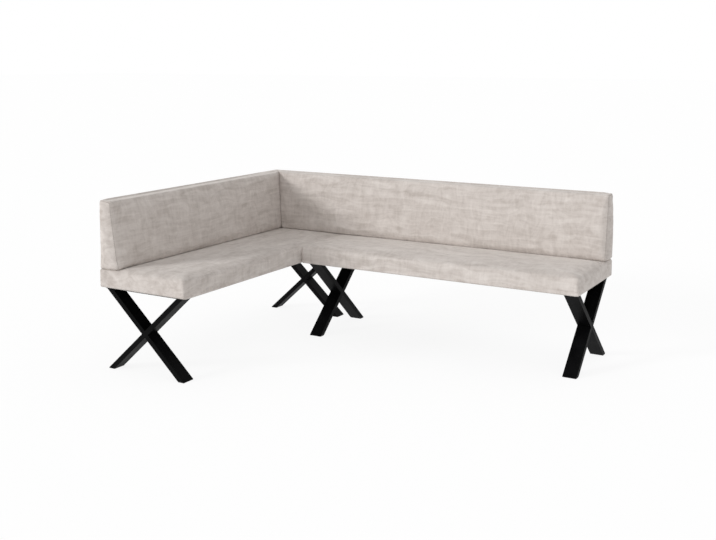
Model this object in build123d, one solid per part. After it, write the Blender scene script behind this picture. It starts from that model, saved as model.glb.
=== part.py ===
from build123d import *
from math import copysign, cos, floor, pi, sin, sqrt
import os

# Corner bench: two upholstered seats in an L, a wedge-shaped back along the rear of
# each, and four crossed steel legs. Millimetres, +Z up, standing on Z = 0. The long
# arm runs along X at the rear, the short arm comes forward along Y on the left.

# Overall size
bench_length = 2116.0
bench_depth = 1526.0
total_height = 842.0
seat_height = 500.0
seat_thickness = 92.0
arm_depth = 540.0
back_top_thickness = 78.0
back_foot_thickness = 127.0

# Fabric and padding
fabric = 1.5
fabric_return = 30.0
soft_clearance = 0.2
side_padding = 16.0
wall_padding = 3.5
back_padding = 22.0
back_top_padding = 12.0
back_wall_padding = 3.5
mitre_padding = 10.0

# Rounding of the upholstered edges
seat_top_radius = 20.0
seat_wall_radius = 4.5
seat_bottom_radius = 4.5
seat_corner_radius = 17.0
seam_radius = 3.0
seat_belly = 2.0
seat_crown = 5.0
back_edge_radius = 11.0
back_wall_radius = 4.5
back_corner_radius = 13.0
back_belly = 3.0
least_radius = 1.0
round_steps = 3
# How far a side's swell reaches, of half its height, and how steeply the crown's ends rise
belly_reach_share = 0.45
crown_end_share = 6.0

# Seat frame
rail_thickness = 25.0
rail_height = 51.0
support_rail_width = 45.0
support_bearing = 25.0
batten_width = 110.0
leg_board_thickness = 18.0
leg_board_width = 110.0

# Seat springs and their clips
spring_wire = 3.8
spring_spacing = 125.0
spring_pitch = 28.0
spring_run = 40.0
spring_wire_sides = 6
spring_bend_steps = 3
clip_sheet = 1.2
clip_length = 24.0
clip_width = 14.0
clip_clearance = 0.1

# Back frame
back_board_thickness = 18.0
back_panel_thickness = 4.0
rear_panel_thickness = 3.0
top_rail_height = 25.0
rib_thickness = 18.0
rib_spacing = 420.0

# Legs
tube_width = 70.0
tube_depth = 25.0
tube_wall = 2.0
leg_half_span = 238.5
leg_plate_thickness = 5.0
leg_plate_margin = 6.0
outer_leg_inset = 24.0
corner_leg_inset = 34.0
glide_thickness = 3.0
glide_margin = 1.0
glide_plug_height = 12.0
glide_clearance = 0.2

# Screws that hold the leg plates and the connector plates
screw_diameter = 5.5
screw_length = 22.0
screw_head_diameter = 11.0
screw_head_height = 3.0
screw_clearance = 0.3
pilot_clearance = 0.1
screw_spacing_across = 20.0
screw_spacing_along = 110.0

# Plates that join the two seats underneath
connector_width = 60.0
connector_thickness = 3.0
connector_margin = 12.0
connector_shares = (0.4, 0.8)

# Bolts and tee nuts that hold the backs
bolt_diameter = 8.0
bolt_length = 60.0
bolt_head_across = 13.0
bolt_head_height = 5.5
bolt_flange_diameter = 17.0
bolt_flange_height = 1.5
bolt_clearance = 0.5
bolt_access_diameter = 22.0
tee_nut_flange_diameter = 22.0
tee_nut_flange_height = 1.5
tee_nut_barrel_diameter = 10.0
tee_nut_barrel_height = 9.0
thread_clearance = 0.05

# How far every cutting solid runs past what it cuts
overrun = 5.0

# Heights and lines worked out from the sizes above
long_seat_length = bench_length - arm_depth
short_seat_length = bench_depth
seat_bottom = seat_height - seat_thickness
frame_bottom = seat_bottom + fabric
rail_top = frame_bottom + rail_height
batten_top = seat_height - fabric
clip_height = 2 * clip_sheet + spring_wire + 2 * clip_clearance
seat_pad_bottom = rail_top + clip_height + clip_clearance
frame_front = -arm_depth + fabric + side_padding
frame_rear = -(fabric + wall_padding)
frame_corner = fabric + wall_padding
batten_front = frame_rear - batten_width
support_front = batten_front + support_bearing - support_rail_width
support_rear = batten_front + support_bearing
bolt_line = (frame_rear - rail_thickness + support_rear) / 2
leg_centre = -arm_depth / 2
leg_bottom = glide_thickness
leg_top = seat_bottom - leg_plate_thickness
back_base = seat_height + fabric
back_frame_top = total_height - fabric - back_top_padding
back_frame_rear = -(fabric + back_wall_padding)
back_timber_rear = back_frame_rear - rear_panel_thickness
base_board_top = back_base + back_board_thickness
top_rail_bottom = back_frame_top - top_rail_height

# The mirror plane that turns a piece of the long arm into one of the short arm
diagonal = Plane(origin=(0, 0, 0), x_dir=(0, 0, 1), z_dir=(1, 1, 0))


def block(x0, x1, y0, y1, z0, z1):
    """A box between two corners."""
    corner = (Align.MIN, Align.MIN, Align.MIN)
    return Pos(x0, y0, z0) * Box(x1 - x0, y1 - y0, z1 - z0, align=corner)


def bar_section(points, x0, x1):
    """An outline in Y and Z, run along X."""
    face = make_face(Polyline(*points, close=True))
    return extrude(Plane.YZ.offset(x0) * face, amount=x1 - x0)


def rod(x, y, z0, z1, diameter):
    """An upright round bar."""
    base = (Align.CENTER, Align.CENTER, Align.MIN)
    return Pos(x, y, z0) * Cylinder(diameter / 2, z1 - z0, align=base)


def joined(solids):
    """Several separate solids kept side by side."""
    return Compound(children=[item for solid in solids for item in solid.solids()])


# Upholstered forms: an outline of lines and arcs in Y and Z, run along the arm, with
# smaller and smaller rings of the same outline round its outer end.

def ring(points, radii, x):
    """One closed outline across the arm at a place along it."""
    corners = [(x, y, z) for y, z in points]
    return make_face(FilletPolyline(*corners, radius=radii, close=True).wire())


def belly_radius(height, belly):
    """Radius of the soft swell in the middle of a side."""
    half = height / 2
    return belly_reach_share * half ** 2 / belly


def seat_ring(inset, x):
    """Outline of the seat, drawn in all round."""
    front = -arm_depth + inset
    low = seat_bottom + inset
    top = seat_height - inset
    low_radius = max(seat_bottom_radius - inset, least_radius)
    points = (
        (-inset, low),
        (front + seat_belly, low),
        (front, (low + top) / 2),
        (front + seat_belly, top),
        (-inset, top),
    )
    radii = (low_radius, low_radius, belly_radius(top - low, seat_belly),
             max(seat_top_radius - inset, least_radius), max(seat_wall_radius - inset, least_radius))
    return ring(points, radii, x)


def back_thickness(z):
    """The back tapers from its foot to its top."""
    rise = (z - seat_height) / (total_height - seat_height)
    return back_foot_thickness + (back_top_thickness - back_foot_thickness) * rise


def back_ring(inset, x):
    """Outline of the back, drawn in all round."""
    low = seat_height + inset
    top = total_height - inset
    middle = (low + top) / 2
    edge = max(back_edge_radius - inset, least_radius)
    wall = max(back_wall_radius - inset, least_radius)
    points = (
        (-inset, low),
        (inset + back_belly - back_thickness(low), low),
        (inset - back_thickness(middle), middle),
        (inset + back_belly - back_thickness(top), top),
        (-inset, top),
    )
    radii = (wall, edge, belly_radius(top - low, back_belly), edge, wall)
    return ring(points, radii, x)


def padded_bar(outline, start, length, end_radius, skin):
    """A padded form along the arm, with its outer end rounded over."""
    last = length - end_radius
    body = extrude(outline(skin, start), amount=last - start, dir=(1, 0, 0))
    rings = []
    for step in range(round_steps + 1):
        turn = step / round_steps * pi / 2
        radius = end_radius - skin
        rings.append(outline(skin + radius * (1 - cos(turn)), last + radius * sin(turn)))
    return body + loft(rings, ruled=True)


def arch(x0, x1, base, depth, rise):
    """A flat-bottomed arch: points for its ends, its top and its foot."""
    top = ThreePointArc((x0, base), ((x0 + x1) / 2, base + rise), (x1, base))
    foot = Polyline((x1, base), (x1, base - depth), (x0, base - depth), (x0, base))
    return make_face(top + foot)


def crown_cap(length, corner_inset, skin):
    """The low crown of the seat, in front of the backs."""
    edge = seat_top_radius + seat_belly + skin
    base = seat_height - skin
    rear = -(back_foot_thickness + seam_radius + skin)
    across = arch(-arm_depth + edge, rear, base, fabric / 2, seat_crown)
    along = arch(corner_inset + skin, length - edge, base, fabric, seat_crown * crown_end_share)
    cross_run = extrude(Plane.YZ * across, amount=length, dir=(1, 0, 0))
    return cross_run & extrude(Plane.XZ * along, amount=arm_depth, dir=(0, -1, 0))


def seam_edge(skin):
    """The short seat's front edge stays nearly square where the long seat meets it."""
    front = -arm_depth + skin
    back = front + seat_top_radius + seat_belly
    top = seat_height - skin
    low = top - seat_top_radius - seat_corner_radius
    outline = (
        (front, low),
        (front, top - seam_radius),
        (front + seam_radius, top),
        (back, top),
        (back, low),
    )
    return bar_section(outline, seat_corner_radius + skin, arm_depth - seat_top_radius - skin)


def seat_form(length, holds_corner, skin):
    """The outer form of a seat's cushion, drawn in all round by a skin."""
    slab = padded_bar(seat_ring, skin, length, seat_corner_radius, skin)
    if holds_corner:
        cap = crown_cap(length, back_foot_thickness + seam_radius, skin)
        return slab + cap + seam_edge(skin)
    return slab + crown_cap(length, seam_radius, skin)


def back_form(length, skin):
    """The outer form of a back, mitred at its corner end and drawn in by a skin."""
    bar = padded_bar(back_ring, 0, length, back_corner_radius, skin)
    return mitred(bar, skin)


def mitred(piece, inward):
    """Cuts the corner end of a back's piece at 45 degrees in plan."""
    start = inward * sqrt(2)
    reach = 2 * back_foot_thickness
    corners = ((start + reach, -reach), (start - reach, reach), (start - 2 * reach, -reach))
    outline = Polyline(*corners, close=True)
    low = seat_height - overrun
    cutter = extrude(Pos(0, 0, low) * make_face(outline), amount=total_height + overrun - low)
    return piece - cutter


# Places of the fasteners, in the arm's own frame

def seat_frame_end(length):
    """Outer face of the outer end rail."""
    return length - fabric - side_padding


def leg_starts(length):
    """Near side of the corner leg and of the outer leg."""
    return corner_leg_inset, length - outer_leg_inset - tube_width


def leg_screw_places(length):
    """Six screws through each leg's top plate, between its bars."""
    places = []
    for start in leg_starts(length):
        for across in (-1, 1):
            for along in (-1, 0, 1):
                x = start + tube_width / 2 + across * screw_spacing_across / 2
                places.append((x, leg_centre + along * screw_spacing_along))
    return places


def connector_places():
    """Screws of the connector plates, in the long seat's frame."""
    short_side = frame_front + arm_depth + rail_thickness / 2
    long_side = frame_corner + rail_thickness / 2
    heights = [-share * arm_depth for share in connector_shares]
    offsets = (-screw_spacing_across / 2, screw_spacing_across / 2)
    return [(x, y + offset) for x in (-short_side, long_side) for y in heights for offset in offsets]


def swapped(places):
    """The same places in the short arm's frame."""
    return [(-y, -(x + arm_depth)) for x, y in places]


def rib_starts(length):
    """Near sides of the ribs inside a back."""
    first = back_foot_thickness
    last = back_frame_end(length) - rib_thickness
    count = floor((last - first) / rib_spacing) + 1
    return [first + (last - first) * place / count for place in range(count + 1)]


def bolt_places(length):
    """Bolts of a back, halfway between its ribs."""
    starts = rib_starts(length)
    return [((near + rib_thickness + far) / 2, bolt_line) for near, far in zip(starts, starts[1:])]


def corner_bolt_places():
    """Bolts of the long back that stand in the corner batten, in the short seat's frame."""
    return [(-y, -x) for x, y in bolt_places(bench_length) if x < arm_depth]


def long_bolt_places():
    """Bolts of the long back that stand in the long seat, in that seat's frame."""
    return [(x - arm_depth, y) for x, y in bolt_places(bench_length) if x >= arm_depth]


def drill(piece, places, z0, z1, diameter):
    """Round holes through a piece."""
    for x, y in places:
        piece = piece - rod(x, y, z0 - overrun, z1 + overrun, diameter)
    return piece


# Seats

def seat_cover(length, holds_corner, screws, bolts):
    """Sewn fabric cover, turned in under the frame and open underneath."""
    cover = seat_form(length, holds_corner, 0) - seat_form(length, holds_corner, fabric)
    opening = block(fabric_return, length - fabric_return, -arm_depth + fabric_return, -fabric_return,
                    seat_bottom - overrun, seat_bottom + overrun)
    cover = cover - opening
    hole = screw_diameter + 2 * screw_clearance
    cover = drill(cover, screws, seat_bottom, frame_bottom, hole)
    return drill(cover, bolts, batten_top, seat_height, bolt_diameter + 2 * bolt_clearance)


def seat_pad(length, holds_corner):
    """Foam over the frame and down its sides, cut out for the frame and the battens."""
    end = seat_frame_end(length)
    pad = seat_form(length, holds_corner, fabric + soft_clearance)
    low = seat_bottom - overrun
    high = seat_height + overrun
    pad = pad - block(frame_corner, end, frame_front, frame_rear, low, seat_pad_bottom)
    pad = pad - block(frame_corner, end, batten_front, frame_rear, low, high)
    if holds_corner:
        side = frame_corner + batten_width
        pad = pad - block(frame_corner, side, frame_front + rail_thickness / 2, frame_rear, low, high)
    return pad


def front_rail(length, screws):
    """Long rail under the seat's front edge."""
    end = seat_frame_end(length)
    rail = block(frame_corner, end, frame_front, frame_front + rail_thickness, frame_bottom, rail_top)
    return pilot_holes(rail, screws)


def rear_rail(length, screws):
    """Long rail at the wall side."""
    end = seat_frame_end(length)
    rail = block(frame_corner, end, frame_rear - rail_thickness, frame_rear, frame_bottom, rail_top)
    return pilot_holes(rail, screws)


def end_rail(start, screws):
    """Short rail between the two long ones."""
    low = frame_front + rail_thickness
    high = frame_rear - rail_thickness
    rail = block(start, start + rail_thickness, low, high, frame_bottom, rail_top)
    return pilot_holes(rail, screws)


def leg_board(start):
    """Board that carries a leg's top plate."""
    low = frame_front + rail_thickness
    high = frame_rear - rail_thickness
    top = frame_bottom + leg_board_thickness
    return block(start, start + leg_board_width, low, high, frame_bottom, top)


def leg_board_starts(length):
    """Near sides of the corner and outer leg boards."""
    outer = seat_frame_end(length) - rail_thickness - leg_board_width
    return frame_corner + rail_thickness, outer


def support_rail(length, screws):
    """Rail behind the seat springs, notched over the leg boards."""
    start = frame_corner + rail_thickness
    end = seat_frame_end(length) - rail_thickness
    rail = block(start, end, support_front, support_rear, frame_bottom, rail_top)
    for board_start in leg_board_starts(length):
        rail = rail - leg_board(board_start)
    return pilot_holes(rail, screws)


def corner_support_rail():
    """Short rail under the free edge of the corner batten."""
    low = frame_front + rail_thickness
    top = frame_bottom + leg_board_thickness
    return block(-support_rear, -support_front, low, support_front, top, rail_top)


def back_batten(length, bolts):
    """Hardwood batten that the back stands on and is bolted to."""
    end = seat_frame_end(length)
    batten = block(frame_corner, end, batten_front, frame_rear, rail_top, batten_top)
    return drill(batten, bolts, rail_top, batten_top, bolt_diameter + 2 * bolt_clearance)


def corner_batten(bolts):
    """Batten under the long back where it crosses the short seat."""
    side = frame_corner + batten_width
    low = frame_front + rail_thickness / 2
    batten = block(frame_corner, side, low, batten_front, rail_top, batten_top)
    return drill(batten, bolts, rail_top, batten_top, bolt_diameter + 2 * bolt_clearance)


def pilot_holes(piece, screws):
    """Blind holes that the plate screws bite into."""
    top = seat_bottom - connector_thickness + screw_length + pilot_clearance
    for x, y in screws:
        piece = piece - rod(x, y, seat_bottom - overrun, top, screw_diameter + 2 * pilot_clearance)
    return piece


def drilled_leg_board(start, screws, access):
    """Leg board with its screw holes, and holes to reach any bolt above it."""
    board = pilot_holes(leg_board(start), screws)
    top = frame_bottom + leg_board_thickness
    return drill(board, access, frame_bottom, top, bolt_access_diameter)


def dust_cover(length, screws):
    """Thin cloth that closes the underside, inside the turned-in cover."""
    inward = fabric_return + soft_clearance
    low = -arm_depth + inward
    cloth = block(inward, length - inward, low, -inward, seat_bottom, frame_bottom)
    hole = screw_diameter + 2 * screw_clearance
    return drill(cloth, screws, seat_bottom, frame_bottom, hole)


def spring_lines():
    """Rear and front clip lines of the seat springs."""
    return (support_front + batten_front) / 2, frame_front + rail_thickness / 2


def spring_places(length, holds_corner):
    """Places of the springs along a seat."""
    start = frame_corner + rail_thickness
    if holds_corner:
        start = -support_front
    end = seat_frame_end(length) - rail_thickness
    count = floor((end - start) / spring_spacing)
    gap = (end - start) / count
    return [start + gap * (place + 1 / 2) for place in range(count)]


def seat_spring():
    """Zigzag wire spring from the rear clip to the front clip, about its own middle line."""
    rear, front = spring_lines()
    turns = floor((rear - front) / spring_pitch)
    pitch = (rear - front) / turns
    side = spring_run / 2
    z = rail_top + clip_sheet + clip_clearance + spring_wire / 2
    points = [(-side, rear, z)]
    for turn in range(turns):
        for step in range(spring_bend_steps + 1):
            angle = pi * step / spring_bend_steps
            out = side + copysign(pitch / 2 * sin(angle), side)
            down = turn * pitch + pitch / 2 * (1 - cos(angle))
            points.append((out, rear - down, z))
        side = -side
    points.append((side, front, z))
    path = Polyline(*points)
    start = Plane(origin=path @ 0, z_dir=path % 0)
    wire = start * RegularPolygon(spring_wire / 2, spring_wire_sides)
    return sweep(wire, path=path, transition=Transition.RIGHT)


def spring_clip(y):
    """Folded steel clip that holds a spring's end run."""
    slot = spring_wire + 2 * clip_clearance
    middle = rail_top + clip_height / 2
    clip = block(-clip_length / 2, clip_length / 2, y - clip_width / 2, y + clip_width / 2,
                 rail_top, rail_top + clip_height)
    return clip - Pos(0, y, middle) * Box(clip_length + overrun, slot, slot)


# Backs

def panel_front(z):
    """Front face of a back's front panel."""
    return -(back_thickness(z) - fabric - back_padding)


def back_slice(z0, z1, inward):
    """Outline of the back's frame between two heights, behind the front panel or with it."""
    return (
        (back_timber_rear, z0),
        (panel_front(z0) + inward, z0),
        (panel_front(z1) + inward, z1),
        (back_timber_rear, z1),
    )


def back_frame_end(length):
    """Outer end of a back's frame."""
    return length - fabric - side_padding


def back_pad(length):
    """Foam over the back's front, top and ends, with a thin layer at the wall side."""
    pad = back_form(length, fabric + soft_clearance)
    low = back_base - overrun
    outline = (
        (back_frame_rear, low),
        (panel_front(low), low),
        (panel_front(back_frame_top), back_frame_top),
        (back_frame_rear, back_frame_top),
    )
    return pad - mitred(bar_section(outline, 0, back_frame_end(length)), mitre_padding)


def back_cover(length, bolts):
    """Sewn fabric cover of a back, closed all round but for the bolt holes."""
    cover = back_form(length, 0) - back_form(length, fabric)
    return drill(cover, bolts, seat_height, back_base, bolt_diameter + 2 * bolt_clearance)


def back_front_panel(length):
    """Sloping plywood panel behind the foam."""
    outline = (
        (panel_front(back_base), back_base),
        (panel_front(back_base) + back_panel_thickness, back_base),
        (panel_front(back_frame_top) + back_panel_thickness, back_frame_top),
        (panel_front(back_frame_top), back_frame_top),
    )
    return mitred(bar_section(outline, 0, back_frame_end(length)), mitre_padding)


def back_rear_panel(length):
    """Upright hardboard panel at the wall side."""
    panel = block(0, back_frame_end(length), back_timber_rear, back_frame_rear, back_base, back_frame_top)
    return mitred(panel, mitre_padding)


def back_base_board(length, bolts):
    """Board that the tee nuts sit in."""
    outline = back_slice(back_base, base_board_top, back_panel_thickness)
    board = mitred(bar_section(outline, 0, back_frame_end(length)), mitre_padding)
    hole = tee_nut_barrel_diameter + 2 * thread_clearance
    return drill(board, bolts, back_base, base_board_top, hole)


def back_top_rail(length):
    """Rail along the top of a back."""
    outline = back_slice(top_rail_bottom, back_frame_top, back_panel_thickness)
    return mitred(bar_section(outline, 0, back_frame_end(length)), mitre_padding)


def back_ribs(length):
    """Upright wedge ribs between the base board and the top rail."""
    outline = back_slice(base_board_top, top_rail_bottom, back_panel_thickness)
    return [bar_section(outline, start, start + rib_thickness) for start in rib_starts(length)]


# Legs

def bar_cut():
    """Width of a slanting bar where it is cut level."""
    reach = 2 * leg_half_span
    rise = leg_top - leg_bottom
    slant = sqrt(reach ** 2 + rise ** 2 - tube_depth ** 2)
    return tube_depth * (rise * slant - tube_depth * reach) / (rise ** 2 - tube_depth ** 2)


def bar_outline(direction, inward, low, high):
    """Side outline of a bar between two heights. Direction 1 rises to the rear."""
    cut = bar_cut()
    slope = (2 * leg_half_span - cut) / (leg_top - leg_bottom)
    margin = inward * cut / tube_depth

    def edge(offset, z):
        return leg_centre + direction * (-leg_half_span + offset + slope * (z - leg_bottom))

    return (
        (edge(margin, low), low),
        (edge(cut - margin, low), low),
        (edge(cut - margin, high), high),
        (edge(margin, high), high),
    )


def leg_bar(start, direction):
    """Rectangular steel tube, cut level at both ends."""
    outside = bar_section(bar_outline(direction, 0, leg_bottom, leg_top), start, start + tube_width)
    inside = bar_section(bar_outline(direction, tube_wall, leg_bottom - overrun, leg_top + overrun),
                         start + tube_wall, start + tube_width - tube_wall)
    return outside - inside


def leg_half_bars(start):
    """The second bar of the cross, in two pieces welded to the first."""
    outline = bar_outline(1, 0, leg_bottom - overrun, leg_top + overrun)
    halves = leg_bar(start, -1) - bar_section(outline, start, start + tube_width)
    return sorted(halves.solids(), key=lambda half: half.center().Z)


def leg_top_plate(start, screws):
    """Steel plate that the bars are welded under."""
    reach = leg_half_span + leg_plate_margin
    plate = block(start, start + tube_width, leg_centre - reach, leg_centre + reach, leg_top, seat_bottom)
    return drill(plate, screws, leg_top, seat_bottom, screw_diameter + 2 * screw_clearance)


def leg_glides(start):
    """Plastic feet, plugged into the bars."""
    glides = []
    for direction in (-1, 1):
        foot = bar_outline(direction, glide_margin, 0, leg_bottom)
        sole_y = [y for y, z in foot if z == leg_bottom]
        sole = block(start + glide_margin, start + tube_width - glide_margin,
                     min(sole_y), max(sole_y), 0, leg_bottom)
        inward = tube_wall + glide_clearance
        plug_top = leg_bottom + glide_plug_height
        inside = bar_outline(direction, inward, leg_bottom - glide_margin, plug_top)
        plug = bar_section(inside, start + inward, start + tube_width - inward)
        glides.append(sole + plug)
    return glides


# Fasteners

def plate_screw(x, y, seat_face):
    """Flat-headed screw driven up through a plate."""
    head = rod(x, y, seat_face - screw_head_height, seat_face, screw_head_diameter)
    return head + rod(x, y, seat_face - screw_head_height / 2, seat_face + screw_length, screw_diameter)


def back_bolt(x, y):
    """Hexagon bolt with a flange, head down."""
    top = rail_top - bolt_flange_height
    hexagon = RegularPolygon(bolt_head_across / 2, 6, major_radius=False)
    head = extrude(Pos(x, y, top) * hexagon, amount=-bolt_head_height)
    flange = rod(x, y, top, rail_top, bolt_flange_diameter)
    shank = rod(x, y, top, rail_top + bolt_length, bolt_diameter - 2 * thread_clearance)
    return head + flange + shank


def tee_nut(x, y):
    """Tee nut let into the top of a base board."""
    flange = rod(x, y, base_board_top, base_board_top + tee_nut_flange_height, tee_nut_flange_diameter)
    barrel = rod(x, y, base_board_top - tee_nut_barrel_height, base_board_top + tee_nut_flange_height / 2,
                 tee_nut_barrel_diameter)
    nut = flange + barrel
    return drill(nut, [(x, y)], back_base, base_board_top, bolt_diameter)


def connector_plate(share):
    """Flat steel plate across the seam under the two seats."""
    low_x = min(x for x, y in connector_places()) - connector_margin
    high_x = max(x for x, y in connector_places()) + connector_margin
    y = -share * arm_depth
    bottom = seat_bottom - connector_thickness
    half = connector_width / 2
    plate = block(low_x, high_x, y - half, y + half, bottom, seat_bottom)
    holes = [place for place in connector_places() if abs(place[1] - y) < half]
    return drill(plate, holes, bottom, seat_bottom, screw_diameter + 2 * screw_clearance)


# Placing: the long seat starts where the short one ends, and the short arm's pieces are
# the mirror image of the long arm's across the corner's diagonal.

def in_long_seat(piece):
    """Moves a seat piece to the long arm."""
    return Pos(arm_depth, 0, 0) * piece


def in_short_arm(piece):
    """Mirrors a piece into the short arm."""
    return mirror(piece, about=diagonal)


def in_long_back(piece):
    """The long back's frame is the bench's own."""
    return piece


def seat_pieces(name, length, holds_corner, joint_screws, bolts, corner_bolts, place):
    """Every piece of one seat, by name."""
    screws = leg_screw_places(length)
    corner_start, outer_start = leg_board_starts(length)
    end = seat_frame_end(length)
    corner_screws = screws[:len(screws) // 2]
    outer_screws = screws[len(screws) // 2:]
    all_screws = screws + joint_screws
    pieces = {
        "seat_cover": seat_cover(length, holds_corner, all_screws, bolts + corner_bolts),
        "seat_pad": seat_pad(length, holds_corner),
        "front_rail": front_rail(length, all_screws),
        "rear_rail": rear_rail(length, all_screws),
        "corner_end_rail": end_rail(frame_corner, all_screws),
        "outer_end_rail": end_rail(end - rail_thickness, all_screws),
        "support_rail": support_rail(length, all_screws),
        "corner_leg_board": drilled_leg_board(corner_start, corner_screws, bolts + corner_bolts),
        "outer_leg_board": drilled_leg_board(outer_start, outer_screws, bolts),
        "back_batten": back_batten(length, bolts),
        "dust_cover": dust_cover(length, all_screws),
    }
    return {name + "_" + key: place(piece) for key, piece in pieces.items()}


def back_pieces(name, length, bolts, place):
    """Every piece of one back, by name."""
    pieces = {
        "back_cover": back_cover(length, bolts),
        "back_pad": back_pad(length),
        "back_front_panel": back_front_panel(length),
        "back_rear_panel": back_rear_panel(length),
        "back_base_board": back_base_board(length, bolts),
        "back_top_rail": back_top_rail(length),
    }
    return {name + "_" + key: place(piece) for key, piece in pieces.items()}


def leg_pieces(name, start, screws, place):
    """The plate and bars of one crossed leg, by name."""
    lower, upper = leg_half_bars(start)
    pieces = {
        "top_plate": leg_top_plate(start, screws),
        "through_bar": leg_bar(start, 1),
        "upper_half_bar": upper,
        "lower_half_bar": lower,
    }
    return {name + "_leg_" + key: place(piece) for key, piece in pieces.items()}


def bench():
    """All nodes of the bench by name."""
    seam_screws = connector_places()
    long_bolts = long_bolt_places()
    short_bolts = bolt_places(bench_depth)
    corner_bolts = corner_bolt_places()
    long_back_bolts = bolt_places(bench_length)
    nodes = {}
    nodes.update(seat_pieces("long", long_seat_length, False, seam_screws, long_bolts, [], in_long_seat))
    nodes.update(seat_pieces("short", short_seat_length, True, swapped(seam_screws), short_bolts,
                             corner_bolts, in_short_arm))
    nodes["corner_batten"] = in_short_arm(corner_batten(corner_bolts))
    nodes["corner_support_rail"] = in_short_arm(corner_support_rail())
    nodes.update(back_pieces("long", bench_length, long_back_bolts, in_long_back))
    nodes.update(back_pieces("short", bench_depth, short_bolts, in_short_arm))

    springs = []
    clips = []
    ribs = []
    glides = []
    screws = []
    for length, holds_corner, place in ((long_seat_length, False, in_long_seat),
                                        (short_seat_length, True, in_short_arm)):
        for x in spring_places(length, holds_corner):
            springs.append(place(Pos(x, 0, 0) * seat_spring()))
            clips += [place(Pos(x, 0, 0) * spring_clip(y)) for y in spring_lines()]
        places = leg_screw_places(length)
        halves = (places[:len(places) // 2], places[len(places) // 2:])
        side = "short" if holds_corner else "long"
        for end, start, holes in zip(("corner", "outer"), leg_starts(length), halves):
            nodes.update(leg_pieces(side + "_" + end, start, holes, place))
            glides += [place(glide) for glide in leg_glides(start)]
        screws += [place(plate_screw(x, y, leg_top)) for x, y in places]
    screws += [in_long_seat(plate_screw(x, y, seat_bottom - connector_thickness)) for x, y in seam_screws]
    ribs += [in_long_back(rib) for rib in back_ribs(bench_length)]
    ribs += [in_short_arm(rib) for rib in back_ribs(bench_depth)]

    nodes["seat_springs"] = joined(springs)
    nodes["spring_clips"] = joined(clips)
    nodes["back_ribs"] = joined(ribs)
    nodes["leg_glides"] = joined(glides)
    nodes["plate_screws"] = joined(screws)
    nodes["connector_plates"] = joined([in_long_seat(connector_plate(share)) for share in connector_shares])
    nodes["back_bolts"] = joined([in_long_back(back_bolt(x, y)) for x, y in long_back_bolts]
                                 + [in_short_arm(back_bolt(x, y)) for x, y in short_bolts])
    nodes["tee_nuts"] = joined([in_long_back(tee_nut(x, y)) for x, y in long_back_bolts]
                               + [in_short_arm(tee_nut(x, y)) for x, y in short_bolts])
    return nodes


# The origin is under the middle of the bench's box, on the floor
to_origin = Pos(-bench_length / 2, bench_depth / 2, 0)
os.makedirs("parts", exist_ok=True)
for node, piece in bench().items():
    export_step(to_origin * piece, "parts/" + node + ".step")
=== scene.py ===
import math

import bmesh
import bpy
import numpy as np
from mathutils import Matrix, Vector, bvhtree, noise


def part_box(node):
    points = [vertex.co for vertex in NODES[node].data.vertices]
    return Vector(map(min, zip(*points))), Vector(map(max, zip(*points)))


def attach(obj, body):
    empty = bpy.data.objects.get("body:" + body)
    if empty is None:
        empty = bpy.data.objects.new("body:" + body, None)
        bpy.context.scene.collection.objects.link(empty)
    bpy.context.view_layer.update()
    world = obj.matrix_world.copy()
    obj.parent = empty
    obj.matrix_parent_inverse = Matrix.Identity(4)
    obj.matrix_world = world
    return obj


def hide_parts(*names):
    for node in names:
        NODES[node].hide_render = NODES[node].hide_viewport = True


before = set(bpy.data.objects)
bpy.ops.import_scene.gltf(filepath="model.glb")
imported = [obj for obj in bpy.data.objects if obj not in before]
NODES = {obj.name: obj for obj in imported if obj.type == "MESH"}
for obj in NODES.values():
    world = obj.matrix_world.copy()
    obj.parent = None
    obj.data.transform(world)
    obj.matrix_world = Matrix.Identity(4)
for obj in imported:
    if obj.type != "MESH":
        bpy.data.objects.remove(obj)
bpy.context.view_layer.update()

# Image frame of the photograph, in pixels
IMAGE_WIDTH = 716
IMAGE_HEIGHT = 540
FOCAL_PIXELS = 1006.2
AXIS_PIXEL = (358.0, 150.0)

# Camera: place in metres, turn and tilt in degrees, sensor in millimetres
CAMERA_PLACE = (2.492, -4.328, 1.548)
CAMERA_TURN = 30.2
CAMERA_TILT = 5.41
SENSOR_WIDTH = 36.0

# Places on the bench, in metres
SEAM_X = -0.518
INNER_Y = 0.223
BACK_FOOT_X = -0.931
BACK_FOOT_Y = 0.636
BACK_FOOT = 0.127
BACK_TOP = 0.078

# Cushion meshes, lengths in metres
VOXEL = 0.008
RELAX_STEP = 0.6
RELAX_ROUNDS = 9
FABRIC = 0.0015
TURNED_IN = 0.030
UNDERSIDE_DEPTH = 0.010
UNDERSIDE_SLOPE = -0.7

# Swelling as cloth: the cap and the smallest move in metres, the looseness as a share
SWELL_CAP = 0.006
PRESSURE = 3.0
LOOSENESS = 0.004
CLOTH_FRAMES = 20
SMALLEST_MOVE = 1e-9

# How far joints and ends are moved, and how far in an end's swelling reaches, in metres
JOINT_OVERLAP = 0.016
MITRE_OVERLAP = 0.001
SEAT_END_DRAW = 0.005
END_DRAW = 0.006
END_PUFF = 0.008
END_REACH = 0.018

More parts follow.
